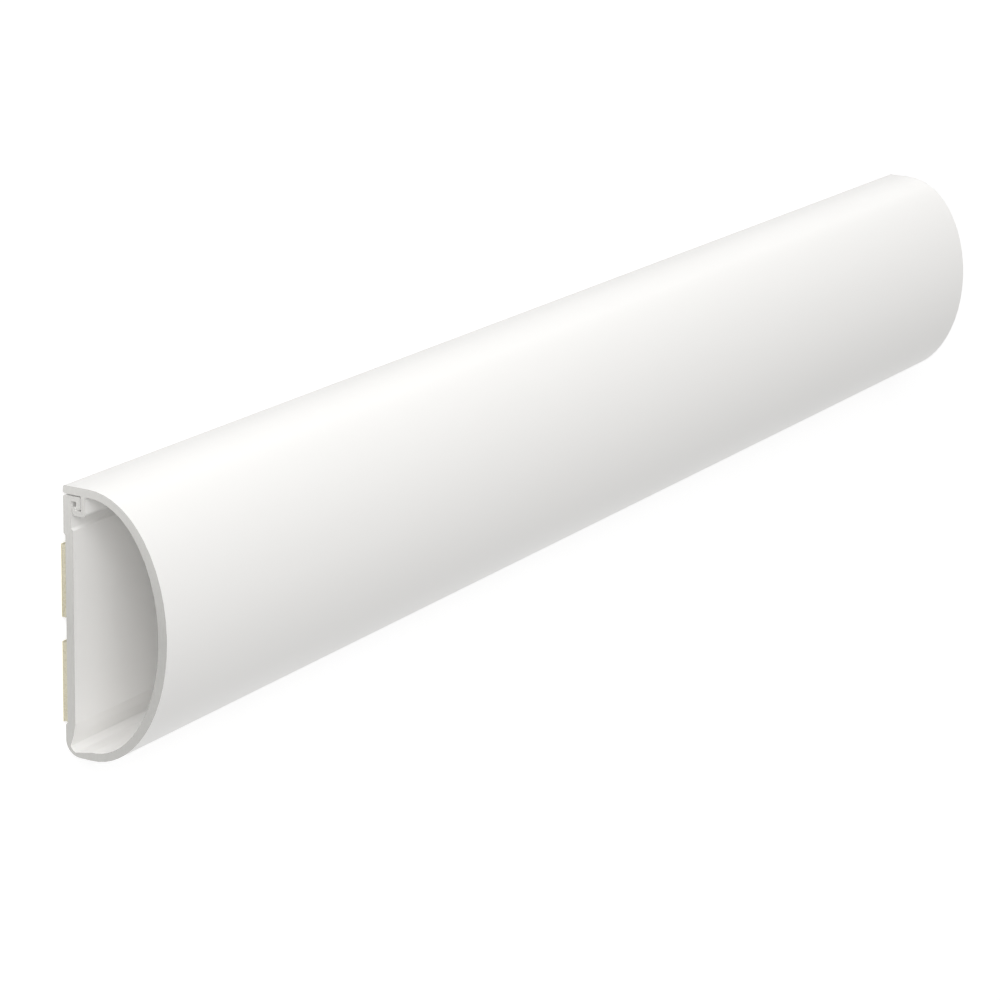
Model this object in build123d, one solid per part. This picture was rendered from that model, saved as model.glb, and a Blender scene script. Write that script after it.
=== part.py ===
from build123d import *
import os
from math import cos, radians, sin

# Half-round hinged cable trunking, in millimetres.
# It lies on its two adhesive tapes, +X along its length, +Y towards the edge that clips shut, +Z up.
# The section is drawn in (Y, Z) from the plate's back face, then raised by what the tapes stand proud.

# Whole moulding
LENGTH = 350.0
WIDTH = 50.0
HEIGHT = 22.0  # back of the plate to the crown of the cover

# Walls
CROWN_WALL = 1.8
SIDE_WALL = 1.5
PLATE_WALL = 1.65
WEB_WALL = 0.6

# Hinge along the rounded back corner
HINGE_RADIUS = 3.0
WEB_START = 23.0  # degrees round the corner, from the upright side to the web
WEB_SPAN = 37.0  # degrees of the corner that the web takes up
HINGE_TAPER = 4.0  # edge of the moulding to where the plate slopes down into the web
HINGE_ROUND = 0.8

# Shallow recess in the plate's back, for the tapes
RECESS_DEPTH = 0.4
RECESS_HINGE_MARGIN = 6.1  # hinge edge to the recess
RECESS_CLIP_MARGIN = 9.1  # clip edge to the recess
RECESS_SLOPE = 0.4  # run of the recess's sloped sides
JOG_SHIFT = 1.0  # the step on the plate's inside lies this much nearer the clip edge
PLATE_ROUND = 0.25

# Catch: a ledge with a nose on the plate, and a hook on the cover that wraps round the nose
LIP_ROUND = 0.4
SEAM_GAP = 0.25  # between the cover's lip and the plate's edge
CATCH_GAP = 0.25  # between the hook and whatever it passes
LEDGE_WALL = 0.9
NOSE_REACH = 1.45
NOSE_WALL = 0.8
HOOK_WALL = 0.9
BARB_REACH = 0.6
BARB_WALL = 0.65
SIDE_CLEARANCE = 0.85  # above the hook, to where the cover starts to bow
HOOK_ROUND = 0.8
HOOK_ROOT_ROUND = 0.4
CATCH_ROUND = 0.2

# Adhesive tapes and their release liners
TAPE_FOAM = 0.9
LINER = 0.1
LOWER_TAPE_WIDTH = 15.0
LOWER_TAPE_INSET = 0.1  # recess's hinge side to the lower tape
UPPER_TAPE_INSET = 1.7  # recess's clip side to the upper tape
TAPE_SPACING = 4.5

# Where the section's lines fall
HALF_WIDTH = WIDTH / 2
TAPE_PROUD = TAPE_FOAM + LINER - RECESS_DEPTH
HINGE_CENTRE = (HINGE_RADIUS - HALF_WIDTH, HINGE_RADIUS)
WEB_COVER_ANGLE = 180 + WEB_START
WEB_PLATE_ANGLE = WEB_COVER_ANGLE + WEB_SPAN
LIP_FACE = HALF_WIDTH - SIDE_WALL
PLATE_EDGE = LIP_FACE - SEAM_GAP
LEDGE_FACE = PLATE_EDGE - LEDGE_WALL
NOSE_TIP = LEDGE_FACE - NOSE_REACH
RECESS_LOW = RECESS_HINGE_MARGIN - HALF_WIDTH
RECESS_HIGH = HALF_WIDTH - RECESS_CLIP_MARGIN
FLOOR_FACE = RECESS_DEPTH + PLATE_WALL
LOWER_TAPE_EDGE = RECESS_LOW + LOWER_TAPE_INSET
UPPER_TAPE_EDGE = LOWER_TAPE_EDGE + LOWER_TAPE_WIDTH + TAPE_SPACING
UPPER_TAPE_WIDTH = RECESS_HIGH - UPPER_TAPE_INSET - UPPER_TAPE_EDGE

# Heights in the catch, from the plate up: the hook's barb, the nose over it, then the hook's leg
BARB_BOTTOM = PLATE_WALL + CATCH_GAP
BARB_TOP = BARB_BOTTOM + BARB_WALL
NOSE_UNDER = BARB_TOP + CATCH_GAP
LEDGE_HEIGHT = NOSE_UNDER + NOSE_WALL
LEG_BOTTOM = LEDGE_HEIGHT + CATCH_GAP
LEG_TOP = LEG_BOTTOM + HOOK_WALL
SIDE_HEIGHT = LEG_TOP + SIDE_CLEARANCE
ARCH_RISE = HEIGHT - SIDE_HEIGHT

SECTION = Plane(origin=(-LENGTH / 2, 0, TAPE_PROUD), x_dir=(0, 1, 0), z_dir=(1, 0, 0))


def extruded(outline):
    return extrude(SECTION * make_face(outline), LENGTH, dir=(1, 0, 0))


def hinge_point(radius, angle):
    turn = radians(angle)
    return (HINGE_CENTRE[0] + radius * cos(turn), HINGE_CENTRE[1] + radius * sin(turn))


# Flat back plate, from the web to the clip edge, with the ledge that the cover hooks onto
def make_base_plate():
    web_inside = hinge_point(HINGE_RADIUS - WEB_WALL, WEB_PLATE_ANGLE)
    web_outside = hinge_point(HINGE_RADIUS, WEB_PLATE_ANGLE)
    corner = CenterArc(HINGE_CENTRE, HINGE_RADIUS, WEB_PLATE_ANGLE, 270 - WEB_PLATE_ANGLE)
    jog_high = RECESS_HIGH + RECESS_SLOPE + JOG_SHIFT
    run = FilletPolyline(
        (HINGE_CENTRE[0], 0),
        (RECESS_LOW - RECESS_SLOPE, 0),
        (RECESS_LOW, RECESS_DEPTH),
        (RECESS_HIGH, RECESS_DEPTH),
        (RECESS_HIGH + RECESS_SLOPE, 0),
        (PLATE_EDGE, 0),
        (PLATE_EDGE, LEDGE_HEIGHT),
        (NOSE_TIP, LEDGE_HEIGHT),
        (NOSE_TIP, NOSE_UNDER),
        (LEDGE_FACE, NOSE_UNDER),
        (LEDGE_FACE, PLATE_WALL),
        (jog_high, PLATE_WALL),
        (jog_high - RECESS_SLOPE, FLOOR_FACE),
        (RECESS_LOW, FLOOR_FACE),
        (HINGE_TAPER - HALF_WIDTH, PLATE_WALL),
        web_inside,
        radius=[PLATE_ROUND] * 4 + [LIP_ROUND] + [CATCH_ROUND] * 5 + [PLATE_ROUND] * 3 + [HINGE_ROUND],
    )
    return extruded([corner, run, Line(web_inside, web_outside)])


# Thin web that bends, a part of a ring round the corner's centre
def make_living_hinge():
    inner = HINGE_RADIUS - WEB_WALL
    outline = [
        CenterArc(HINGE_CENTRE, HINGE_RADIUS, WEB_COVER_ANGLE, WEB_SPAN),
        CenterArc(HINGE_CENTRE, inner, WEB_COVER_ANGLE, WEB_SPAN),
        Line(hinge_point(inner, WEB_COVER_ANGLE), hinge_point(HINGE_RADIUS, WEB_COVER_ANGLE)),
        Line(hinge_point(inner, WEB_PLATE_ANGLE), hinge_point(HINGE_RADIUS, WEB_PLATE_ANGLE)),
    ]
    return extruded(outline)


# Bowed cover, from the web over the crown to the lip, with the hook inside the lip
def make_hinged_cover():
    web_inside = hinge_point(HINGE_RADIUS - WEB_WALL, WEB_COVER_ANGLE)
    web_outside = hinge_point(HINGE_RADIUS, WEB_COVER_ANGLE)
    arm_top = NOSE_TIP - CATCH_GAP
    arm_bottom = arm_top - HOOK_WALL
    barb_end = arm_top + BARB_REACH
    catch = FilletPolyline(
        (LIP_FACE, SIDE_HEIGHT),
        (LIP_FACE, LEG_TOP),
        (arm_bottom, LEG_TOP),
        (arm_bottom, BARB_BOTTOM),
        (barb_end, BARB_BOTTOM),
        (barb_end, BARB_TOP),
        (arm_top, BARB_TOP),
        (arm_top, LEG_BOTTOM),
        (LIP_FACE, LEG_BOTTOM),
        (LIP_FACE, 0),
        (HALF_WIDTH, 0),
        (HALF_WIDTH, SIDE_HEIGHT),
        radius=[HOOK_ROOT_ROUND, HOOK_ROUND, HOOK_ROUND] + [CATCH_ROUND] * 5 + [LIP_ROUND] * 2,
    )
    outline = [
        EllipticalCenterArc((0, SIDE_HEIGHT), HALF_WIDTH, ARCH_RISE, 0, arc_size=180),
        Line((-HALF_WIDTH, SIDE_HEIGHT), (-HALF_WIDTH, HINGE_RADIUS)),
        CenterArc(HINGE_CENTRE, HINGE_RADIUS, 180, WEB_START),
        Line(web_outside, web_inside),
        Line(web_inside, (-LIP_FACE, SIDE_HEIGHT)),
        EllipticalCenterArc((0, SIDE_HEIGHT), LIP_FACE, ARCH_RISE - CROWN_WALL, 0, arc_size=180),
        catch,
    ]
    return extruded(outline)


# A flat strip the length of the moulding, from one section corner, such as a tape or a liner
def make_strip(edge, width, underside, thickness):
    middle = (0, edge + width / 2, TAPE_PROUD + underside + thickness / 2)
    return Pos(*middle) * Box(LENGTH, width, thickness)


foam_underside = RECESS_DEPTH - TAPE_FOAM
liner_underside = foam_underside - LINER
PIECES = {
    "base_plate": make_base_plate(),
    "living_hinge": make_living_hinge(),
    "hinged_cover": make_hinged_cover(),
    "foam_tape_lower": make_strip(LOWER_TAPE_EDGE, LOWER_TAPE_WIDTH, foam_underside, TAPE_FOAM),
    "foam_tape_upper": make_strip(UPPER_TAPE_EDGE, UPPER_TAPE_WIDTH, foam_underside, TAPE_FOAM),
    "release_liner_lower": make_strip(LOWER_TAPE_EDGE, LOWER_TAPE_WIDTH, liner_underside, LINER),
    "release_liner_upper": make_strip(UPPER_TAPE_EDGE, UPPER_TAPE_WIDTH, liner_underside, LINER),
}

os.makedirs("parts", exist_ok=True)
for name, piece in PIECES.items():
    export_step(piece, f"parts/{name}.step")
    box = piece.bounding_box()
    print(name, round(piece.volume), box.min, box.max)
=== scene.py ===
from math import cos, radians, sin

import bpy
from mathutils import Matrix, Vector


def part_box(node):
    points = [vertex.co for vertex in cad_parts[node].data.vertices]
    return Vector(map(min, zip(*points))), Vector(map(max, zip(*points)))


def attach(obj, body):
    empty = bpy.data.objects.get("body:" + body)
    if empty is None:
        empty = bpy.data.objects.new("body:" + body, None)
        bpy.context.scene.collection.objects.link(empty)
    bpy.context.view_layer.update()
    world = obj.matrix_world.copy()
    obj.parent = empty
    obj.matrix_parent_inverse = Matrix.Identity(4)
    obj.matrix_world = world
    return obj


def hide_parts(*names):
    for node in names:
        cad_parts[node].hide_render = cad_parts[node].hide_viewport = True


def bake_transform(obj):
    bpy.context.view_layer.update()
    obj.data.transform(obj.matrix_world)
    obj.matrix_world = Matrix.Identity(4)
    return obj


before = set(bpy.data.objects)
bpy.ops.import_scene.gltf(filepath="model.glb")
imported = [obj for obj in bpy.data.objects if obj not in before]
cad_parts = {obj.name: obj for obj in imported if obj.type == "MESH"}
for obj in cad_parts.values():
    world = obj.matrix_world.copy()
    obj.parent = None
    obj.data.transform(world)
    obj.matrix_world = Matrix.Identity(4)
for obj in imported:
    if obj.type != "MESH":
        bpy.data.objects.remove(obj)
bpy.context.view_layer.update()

bl_info = {
    "name": "Half-round hinged cable trunking",
    "version": (1, 0, 0),
    "blender": (4, 5, 0),
    "location": "View3D > Sidebar > Trunking",
    "description": "Dresses a half-round trunking with its hinge web, foam tapes and release liners",
    "category": "Object",
}

MM = 0.001

# Where the frame says the pieces lie
COVER_LOW, COVER_HIGH = (Vector(corner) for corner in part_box("hinged_cover"))
LENGTH = COVER_HIGH.x - COVER_LOW.x
END = COVER_HIGH.x
PLATE_BACK = COVER_LOW.z
HALF_WIDTH = COVER_HIGH.y

# The photograph's viewpoint
CAMERA_PLACE = (-0.642239, 0.194859, 0.356739)
CAMERA_TURN = (radians(-18.560142), radians(-59.720131), radians(2.568828))
CAMERA_LENS = 125.602942

# How finely the strips are divided
FOAM_CUTS = 240
LINER_CUTS = 90
LINER_ROWS = 6
WEB_STEPS = 12

# Depth of the surface relief on each finish
PLASTIC_RELIEF = 0.03 * MM
FOAM_RELIEF = 0.12 * MM
LINER_RELIEF = 0.05 * MM

# The cut ends, and the band of painted shade along the cover's lip
CUT_SKIN = 0.02 * MM
LIP_SHADE_BAND = 2.0 * MM
LIP_SHADE_FADE = 85.0  # how much of the painted shade each metre upwards takes away

# Which sockets of a Mix node carry colours
MIX_LOW = 6
MIX_HIGH = 7
MIX_RESULT = 2

WHITE = (1.0, 1.0, 1.0, 1.0)


class TrunkingSizes(bpy.types.PropertyGroup):
    hinge_radius: bpy.props.FloatProperty(
        name="Hinge radius",
        description="Outer radius of the rounded corner that bends",
        default=3.0 * MM,
        unit="LENGTH",
    )
    web_wall: bpy.props.FloatProperty(
        name="Web thickness",
        description="Thickness of the web where the cover hinges",
        default=0.6 * MM,
        unit="LENGTH",
    )
    web_cover_angle: bpy.props.FloatProperty(
        name="Web starts at",
        description="Angle round the corner where the cover's wall ends",
        default=radians(203),
        subtype="ANGLE",
    )
    web_plate_angle: bpy.props.FloatProperty(
        name="Web ends at",
        description="Angle round the corner where the plate begins",
        default=radians(240),
        subtype="ANGLE",
    )
    foam_round: bpy.props.FloatProperty(
        name="Foam edge rounding",
        description="How far the foam's long edges are rounded over",
        default=0.15 * MM,
        unit="LENGTH",
    )
    foam_ragged: bpy.props.FloatProperty(
        name="Foam raggedness",
        description="How far the foam's slit sides wander in from a straight line",
        default=0.22 * MM,
        unit="LENGTH",
    )
    liner_ripple: bpy.props.FloatProperty(
        name="Liner ripple",
        description="How far the release liners ripple within the thickness they are given",
        default=0.03 * MM,
        unit="LENGTH",
    )


class TrunkingColours(bpy.types.PropertyGroup):
    plastic: bpy.props.FloatVectorProperty(
        name="Plastic",
        description="White of the extruded plastic",
        default=(0.83, 0.822, 0.806),
        subtype="COLOR",
        size=3,
    )
    # Sawn ends: a darker copy of the plastic's white, painted shade on the cut faces, which turn away
    # from the light
    shaded_cut_end: bpy.props.FloatVectorProperty(
        name="Sawn ends",
        description="Tone of the plastic where it is cut across",
        default=(0.432, 0.427, 0.411),
        subtype="COLOR",
        size=3,
    )
    foam: bpy.props.FloatVectorProperty(
        name="Foam",
        description="Khaki of the adhesive foam",
        default=(0.44, 0.417, 0.327),
        subtype="COLOR",
        size=3,
    )
    foam_dark: bpy.props.FloatVectorProperty(
        name="Foam cells",
        description="Tone inside the foam's open cells",
        default=(0.30, 0.275, 0.195),
        subtype="COLOR",
        size=3,
    )
    liner: bpy.props.FloatVectorProperty(
        name="Release liner",
        description="Cream of the waxed paper",
        default=(0.78, 0.72, 0.52),
        subtype="COLOR",
        size=3,
    )


class Value:
    """A number somewhere on a surface: a node's output, with Python's operators adding Math nodes."""

    def __init__(self, finish, socket):
        self.finish, self.socket = finish, socket

    def maths(self, operation, *operands):
        return self.finish.node("ShaderNodeMath", {"operation": operation}, *operands)

    def __add__(self, other):
        return self.maths("ADD", self, other)

    def __radd__(self, other):
        return self.maths("ADD", other, self)

    def __sub__(self, other):
        return self.maths("SUBTRACT", self, other)

    def __rsub__(self, other):
        return self.maths("SUBTRACT", other, self)

    def __mul__(self, other):
        return self.maths("MULTIPLY", self, other)

    def __rmul__(self, other):
        return self.maths("MULTIPLY", other, self)

    def __gt__(self, other):
        return self.maths("GREATER_THAN", self, other)

    def __abs__(self):
        return self.maths("ABSOLUTE", self)

    def at_least(self, other):
        return self.maths("MAXIMUM", self, other)


class Finish:
    """A material being put together, node by node."""

    def __init__(self, name):
        self.material = bpy.data.materials.new(name)
        self.material.use_nodes = True
        self.tree = self.material.node_tree
        self.tree.nodes.clear()

    def node(self, kind, settings, *inputs, output=0, **named):
        made = self.tree.nodes.new(kind)
        for setting, value in settings.items():
            setattr(made, setting, value)
        sockets = dict(enumerate(inputs))
        sockets.update({name.replace("_", " "): value for name, value in named.items()})
        for name, value in sockets.items():
            self.put(made.inputs[name], value)
        return Value(self, made.outputs[output])

    def put(self, socket, value):
        if isinstance(value, Value):
            self.tree.links.new(value.socket, socket)
        else:
            socket.default_value = value

    def place(self):
        return self.node("ShaderNodeTexCoord", {}, output="Object")

    def along(self, axis):
        return self.node("ShaderNodeSeparateXYZ", {}, self.place(), output=axis)

    def noise(self, per_metre, detail=3.0, roughness=0.55):
        spread = self.node("ShaderNodeMapping", {}, self.place(), Scale=per_metre)
        return self.node(
            "ShaderNodeTexNoise",
            {},
            Vector=spread,
            Scale=1.0,
            Detail=detail,
            Roughness=roughness,
        )

    def between(self, factor, low, high):
        mix = self.tree.nodes.new("ShaderNodeMix")
        mix.data_type = "RGBA"
        mix.clamp_factor = True
        self.put(mix.inputs["Factor"], factor)
        for socket, colour in ((MIX_LOW, low), (MIX_HIGH, high)):
            self.put(mix.inputs[socket], colour if isinstance(colour, Value) else (*colour, 1.0))
        return Value(self, mix.outputs[MIX_RESULT])

    def bump(self, height, depth, strength=1.0):
        return self.node(
            "ShaderNodeBump",
            {},
            Height=height,
            Distance=depth,
            Strength=strength,
            output="Normal",
        )

    def surface(self, **sockets):
        shader = self.node("ShaderNodeBsdfPrincipled", {}, output="BSDF", **sockets)
        end = self.tree.nodes.new("ShaderNodeOutputMaterial")
        self.put(end.inputs["Surface"], shader)
        return self.material


def darker(colour, share):
    return tuple(share * tone for tone in colour)


# Satin white plastic: faint lines left by the die along its length and saw marks on its cut ends,
# with painted shade on the cut ends and along the clip-side wall
def white_plastic(colours):
    finish = Finish("white_plastic_finish")
    across, up = finish.along("Y"), finish.along("Z")
    shaded_cut_end = abs(finish.along("X")) > END - CUT_SKIN
    die_lines = finish.noise((3, 900, 900), detail=2.0)
    flow = finish.noise((9, 45, 45), detail=3.0)
    saw_marks = finish.noise((400, 260, 5200), detail=3.0, roughness=0.7)
    # Painted shade on the cut ends: lightest at the clip side and by the back plate, darker towards
    # the hinge side and the front
    painted_end_shade = 0.32 - 8.7 * across - 11.0 * abs(across) + 12.5 * up
    # Painted shade along the clip-side wall, darkest by the back plate and fading out upwards
    clip_side = across > HALF_WIDTH - LIP_SHADE_BAND
    painted_lip_shade = clip_side * (1.0 - LIP_SHADE_FADE * up).at_least(0.0)
    skin = finish.between(0.1 * flow + painted_lip_shade, colours.plastic, darker(colours.plastic, 0.76))
    # The cut ends take their own darker colour as painted shade, with the saw marks and more painted
    # shade laid over it
    cut = finish.between(0.4 * saw_marks + painted_end_shade, colours.shaded_cut_end, darker(colours.shaded_cut_end, 0.6))
    relief = (1.0 - shaded_cut_end) * (0.35 * die_lines + flow) + shaded_cut_end * (2.2 * saw_marks)
    return finish.surface(
        Base_Color=finish.between(shaded_cut_end, skin, cut),
        Roughness=0.3 + 0.14 * flow + 0.3 * shaded_cut_end,
        Normal=finish.bump(relief, PLASTIC_RELIEF),
        IOR=1.53,
    )


# Closed-cell foam: pale khaki, pitted with small cells
def foam_tape(colours):
    finish = Finish("foam_tape_finish")
    cells = finish.node(
        "ShaderNodeTexVoronoi",
        {"feature": "F1"},
        Vector=finish.place(),
        Scale=3200.0,
        output="Distance",
    )
    blotches = finish.noise((160, 400, 900), detail=4.0)
    tone = finish.between(1.25 * cells * blotches, colours.foam, colours.foam_dark)
    return finish.surface(
        Base_Color=tone,
        Roughness=0.82 + 0.14 * blotches,
        Normal=finish.bump(cells + 0.8 * blotches, FOAM_RELIEF, strength=0.8),
    )


# Waxed paper liner, with a faint cockle
def release_liner(colours):
    finish = Finish("release_liner_finish")
    fibres = finish.noise((1800, 700, 700), detail=5.0, roughness=0.65)
    cockle = finish.noise((60, 110, 60), detail=2.0)
    tone = finish.between(0.6 * fibres, colours.liner, darker(colours.liner, 0.84))
    return finish.surface(
        Base_Color=tone,
        Roughness=0.34 + 0.2 * fibres,
        Normal=finish.bump(0.3 * fibres + cockle, LINER_RELIEF),
    )


def deselected():
    if bpy.context.object and bpy.context.object.mode != "OBJECT":
        bpy.ops.object.mode_set(mode="OBJECT")
    bpy.ops.object.select_all(action="DESELECT")


def finished(piece, name, material):
    """Names the piece, settles its place into its mesh and gives it its material."""
    piece.name = piece.data.name = name
    bpy.ops.object.transform_apply(location=True, rotation=True, scale=True)
    piece.data.materials.clear()
    piece.data.materials.append(material)


def material_named(name):
    found = bpy.data.materials.get(name + "_finish")
    if found is None:
        raise RuntimeError(f"the {name} finish hasn't been mixed yet")
    return found


def select_lengthwise_edges(piece):
    """Enters edit mode with only the edges that run along X selected."""
    bpy.ops.object.mode_set(mode="OBJECT")
    mesh = piece.data
    for part in (*mesh.vertices, *mesh.edges, *mesh.polygons):
        part.select = False
    for edge in mesh.edges:
        start, stop = (mesh.vertices[index].co for index in edge.vertices)
        edge.select = abs(stop.x - start.x) > 0.9 * LENGTH
    bpy.ops.object.mode_set(mode="EDIT")
    bpy.ops.mesh.select_mode(type="EDGE")


class TRUNKING_OT_finishes(bpy.types.Operator):
    """Mixes the plastic, foam and liner finishes and gives the extruded solids theirs"""

    bl_idname = "trunking.finishes"
    bl_label = "Mix finishes"

    def execute(self, context):
        for mix in (white_plastic, foam_tape, release_liner):
            mix(context.scene.trunking_colours)
        plastic = material_named("white_plastic")
        for node in ("base_plate", "hinged_cover"):
            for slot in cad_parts[node].material_slots:
                slot.material = plastic
        return {"FINISHED"}


class TRUNKING_OT_hinge_web(bpy.types.Operator):
    """Spins the thin web round the rounded back corner"""

    bl_idname = "trunking.hinge_web"
    bl_label = "Hinge web"

    def execute(self, context):
        sizes = context.scene.trunking_sizes
        middle_radius = sizes.hinge_radius - sizes.web_wall / 2
        centre = Vector((0, sizes.hinge_radius - HALF_WIDTH, PLATE_BACK + sizes.hinge_radius))
        cover_end, plate_end = (
            centre + middle_radius * Vector((0, cos(angle), sin(angle)))
            for angle in (sizes.web_cover_angle, sizes.web_plate_angle)
        )
        deselected()
        bpy.ops.mesh.primitive_plane_add(
            size=1,
            location=cover_end,
            rotation=(sizes.web_cover_angle, 0, 0),
        )
        web = context.object
        web.scale = (LENGTH, sizes.web_wall, 1)
        bpy.ops.object.transform_apply(location=True, rotation=True, scale=True)
        bpy.ops.object.mode_set(mode="EDIT")
        bpy.ops.mesh.select_all(action="SELECT")
        bpy.ops.mesh.spin(
            steps=WEB_STEPS,
            angle=sizes.web_cover_angle - sizes.web_plate_angle,
            center=centre,
            axis=(1, 0, 0),
        )
        bpy.ops.mesh.select_all(action="SELECT")
        bpy.ops.mesh.normals_make_consistent(inside=False)
        bpy.ops.object.mode_set(mode="OBJECT")
        finished(web, "hinge_web", material_named("white_plastic"))
        bpy.ops.object.shade_smooth_by_angle(angle=radians(40))
        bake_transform(web)
        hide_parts("living_hinge")
        return {"FINISHED"}


class TRUNKING_OT_foam_tapes(bpy.types.Operator):
    """Cuts the two strips of adhesive foam, with rounded long edges and slightly ragged sides"""

    bl_idname = "trunking.foam_tapes"
    bl_label = "Foam tapes"

    def execute(self, context):
        sizes = context.scene.trunking_sizes
        for node in ("foam_tape_upper", "foam_tape_lower"):
            low, high = (Vector(corner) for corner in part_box(node))
            deselected()
            bpy.ops.mesh.primitive_cube_add(size=1, location=(low + high) / 2)
            tape = context.object
            tape.scale = high - low
            bpy.ops.object.transform_apply(location=True, rotation=True, scale=True)
            select_lengthwise_edges(tape)
            bpy.ops.mesh.bevel(offset=sizes.foam_round, segments=3, affect="EDGES")
            select_lengthwise_edges(tape)
            bpy.ops.mesh.subdivide(number_cuts=FOAM_CUTS)
            bpy.ops.object.mode_set(mode="OBJECT")
            self.wander(tape, sizes.foam_ragged)
            finished(tape, f"{node}_strip", material_named("foam_tape"))
            bpy.ops.object.shade_smooth_by_angle(angle=radians(50))
            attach(tape, "base")
            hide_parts(node)
        return {"FINISHED"}

    def wander(self, tape, depth):
        """Moves the slit sides inwards by up to the depth, in a wavering line."""
        sides = tape.vertex_groups.new(name="slit_sides")
        wide = max(vertex.co.y for vertex in tape.data.vertices)
        narrow = min(vertex.co.y for vertex in tape.data.vertices)
        edge = 0.02 * MM
        outer = [
            vertex.index
            for vertex in tape.data.vertices
            if not narrow + edge <= vertex.co.y <= wide - edge
        ]
        sides.add(outer, 1.0, "REPLACE")
        drift = bpy.data.textures.new("foam_drift", "CLOUDS")
        drift.noise_scale = 4 * MM
        drift.noise_depth = 3
        shift = tape.modifiers.new("slit_sides", "DISPLACE")
        shift.texture = drift
        shift.vertex_group = sides.name
        shift.strength = depth
        shift.mid_level = 1.0
        bpy.ops.object.modifier_apply(modifier=shift.name)
        tape.vertex_groups.clear()


class TRUNKING_OT_release_liners(bpy.types.Operator):
    """Lays a thin, faintly rippled paper liner under each strip of foam"""

    bl_idname = "trunking.release_liners"
    bl_label = "Release liners"

    def execute(self, context):
        ripple = context.scene.trunking_sizes.liner_ripple
        for node in ("release_liner_upper", "release_liner_lower"):
            low, high = (Vector(corner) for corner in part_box(node))
            deselected()
            bpy.ops.mesh.primitive_grid_add(
                x_subdivisions=LINER_CUTS,
                y_subdivisions=LINER_ROWS,
                size=1,
                location=(low + high) / 2,
            )
            liner = context.object
            liner.scale = (high.x - low.x, high.y - low.y, 1)
            bpy.ops.object.transform_apply(location=True, rotation=True, scale=True)
            waver = bpy.data.textures.new("liner_waver", "CLOUDS")
            waver.noise_scale = 14 * MM
            shift = liner.modifiers.new("ripple", "DISPLACE")
            shift.texture = waver
            shift.strength = ripple
            shift.mid_level = 0.5
            bpy.ops.object.modifier_apply(modifier=shift.name)
            sheet = liner.modifiers.new("sheet", "SOLIDIFY")
            sheet.thickness = high.z - low.z - ripple
            sheet.offset = 0
            bpy.ops.object.modifier_apply(modifier=sheet.name)
            finished(liner, f"{node}_sheet", material_named("release_liner"))
            bpy.ops.object.shade_smooth_by_angle(angle=radians(40))
            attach(liner, "base")
            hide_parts(node)
        return {"FINISHED"}


class TRUNKING_OT_stage(bpy.types.Operator):
    """Sets the pale floor, the soft studio lights and the camera"""

    bl_idname = "trunking.stage"
    bl_label = "Stage"

    def execute(self, context):
        deselected()
        bpy.ops.mesh.primitive_plane_add(size=12, location=(0, 0, 0))
        floor = context.object
        floor.name = "floor"
        paper = Finish("floor_paper")
        grain = paper.noise((40, 40, 40), detail=4.0)
        white = paper.between(grain, (0.56, 0.56, 0.56), (0.54, 0.54, 0.54))
        sheet = paper.surface(
            Base_Color=white,
            Roughness=0.9,
            Emission_Color=WHITE,
            Emission_Strength=0.55,
        )
        floor.data.materials.append(sheet)
        self.light("key_light", place=(-5.6, 5.2, 1.41), size=3.8, power=258.0)
        self.light("end_light", place=(-3.8, 0.6, 1.2), size=2.4, power=47.0)
        self.light("high_light", place=(-2.2, 2.0, 2.8), size=2.4, power=46.0)
        world = bpy.data.worlds.new("studio")
        world.use_nodes = True
        background = world.node_tree.nodes["Background"]
        background.inputs["Color"].default_value = WHITE
        background.inputs["Strength"].default_value = 0.6
        context.scene.world = world
        context.scene.view_settings.view_transform = "Standard"
        bpy.ops.object.camera_add(location=CAMERA_PLACE, rotation=CAMERA_TURN)
        camera = context.object
        camera.data.lens = CAMERA_LENS
        camera.data.sensor_width = 36.0
        camera.data.clip_start = 0.01
        context.scene.camera = camera
        return {"FINISHED"}

    def light(self, name, place, size, power):
        aim = (-Vector(place)).to_track_quat("-Z", "Y").to_euler()
        bpy.ops.object.light_add(type="AREA", location=place, rotation=aim)
        lamp = bpy.context.object
        lamp.name = name
        lamp.data.size = size
        lamp.data.energy = power


OPERATORS = (
    TRUNKING_OT_finishes,
    TRUNKING_OT_hinge_web,
    TRUNKING_OT_foam_tapes,
    TRUNKING_OT_release_liners,
    TRUNKING_OT_stage,
)


class TRUNKING_PT_sidebar(bpy.types.Panel):
    """Sizes, colours and pieces of the trunking"""

    bl_idname = "TRUNKING_PT_sidebar"
    bl_label = "Trunking"
    bl_space_type = "VIEW_3D"
    bl_region_type = "UI"
    bl_category = "Trunking"

    def draw(self, context):
        for group in (context.scene.trunking_sizes, context.scene.trunking_colours):
            for name in type(group).__annotations__:
                self.layout.prop(group, name)
        for operator in OPERATORS:
            self.layout.operator(operator.bl_idname)


CLASSES = (TrunkingSizes, TrunkingColours, *OPERATORS, TRUNKING_PT_sidebar)


def register():
    for made in CLASSES:
        bpy.utils.register_class(made)
    bpy.types.Scene.trunking_sizes = bpy.props.PointerProperty(type=TrunkingSizes)
    bpy.types.Scene.trunking_colours = bpy.props.PointerProperty(type=TrunkingColours)


def unregister():
    del bpy.types.Scene.trunking_sizes
    del bpy.types.Scene.trunking_colours
    for made in reversed(CLASSES):
        bpy.utils.unregister_class(made)


def main():
    register()
    bpy.ops.trunking.finishes()
    bpy.ops.trunking.hinge_web()
    bpy.ops.trunking.foam_tapes()
    bpy.ops.trunking.release_liners()
    bpy.ops.trunking.stage()


if __name__ == "__main__":
    main()
